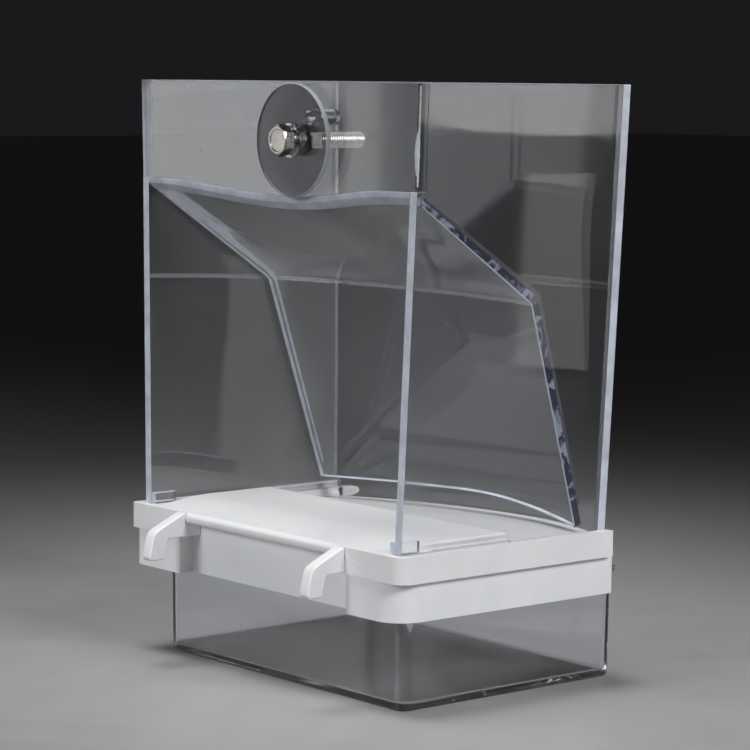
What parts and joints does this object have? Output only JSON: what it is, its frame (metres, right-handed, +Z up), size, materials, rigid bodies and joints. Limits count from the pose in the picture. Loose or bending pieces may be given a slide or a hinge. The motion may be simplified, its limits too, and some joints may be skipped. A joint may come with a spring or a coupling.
{
  "type": "gravity bird feeder",
  "caption": "Clear hopper feeder for cage birds: seed slides down a folded chute to a trough, over a white base with bar hooks, a bolted disc clamp and a pull-out catch tray.",
  "frame": {"origin": "on the table, under the middle of the object's own box", "axes": "+X to the right when looking along +Y at the front; +Y backwards, away from the cage bars; +Z up"},
  "size_m": [0.131, 0.1044, 0.1758],
  "materials": {
    "clear_acrylic": "polished clear sheet with frosted cut edges",
    "clear_tray": "moulded clear plastic, glossy",
    "cement": "frosted bluish bond lines",
    "white_plastic": "satin moulded plastic",
    "stainless": "bright stainless steel, lightly worn"
  },
  "bodies": {
    "base": {"base_frame": "white_plastic", "deck_plate": "white_plastic", "trough_floor": "white_plastic", "left_hook": "white_plastic", "right_hook": "white_plastic", "left_rail": "white_plastic", "right_rail": "white_plastic", "rear_lug": "white_plastic"},
    "hopper": {"left_wall": "clear_acrylic", "right_wall": "clear_acrylic", "back_wall": "clear_acrylic", "front_panel": "clear_acrylic", "feed_chute": "clear_acrylic", "panel_bead": "cement", "chute_beads": "cement", "corner_blocks": "clear_acrylic", "clamp_nut": "stainless"},
    "tray": {"catch_tray": "clear_tray"},
    "clamp": {"clamp_disc": "clear_acrylic", "disc_peg": "clear_acrylic", "flat_washer": "stainless", "spring_washer": "stainless"},
    "bolt": {"clamp_bolt": "stainless"}
  },
  "joints": [
    {"name": "tray_slide", "type": "slide", "parent": "base", "child": "tray", "axis": [0, 1, 0], "range_m": [0, 0.075]},
    {"name": "hopper_lift", "type": "slide", "parent": "base", "child": "hopper", "axis": [0, 0, 1], "range_m": [0, 0.06]},
    {"name": "clamp_slide", "type": "slide", "parent": "hopper", "child": "clamp", "axis": [0, -1, 0], "range_m": [0, 0.0078]},
    {"name": "bolt_turn", "type": "hinge", "parent": "clamp", "child": "bolt", "pos_m": [0.013, -0.0388, 0.1592], "axis": [0, -1, 0], "range_deg": [0, 3510]}
  ],
  "couplings": [
    {"joint": "bolt_turn", "follows": "clamp_slide", "rad_per_m": 7854}
  ]
}
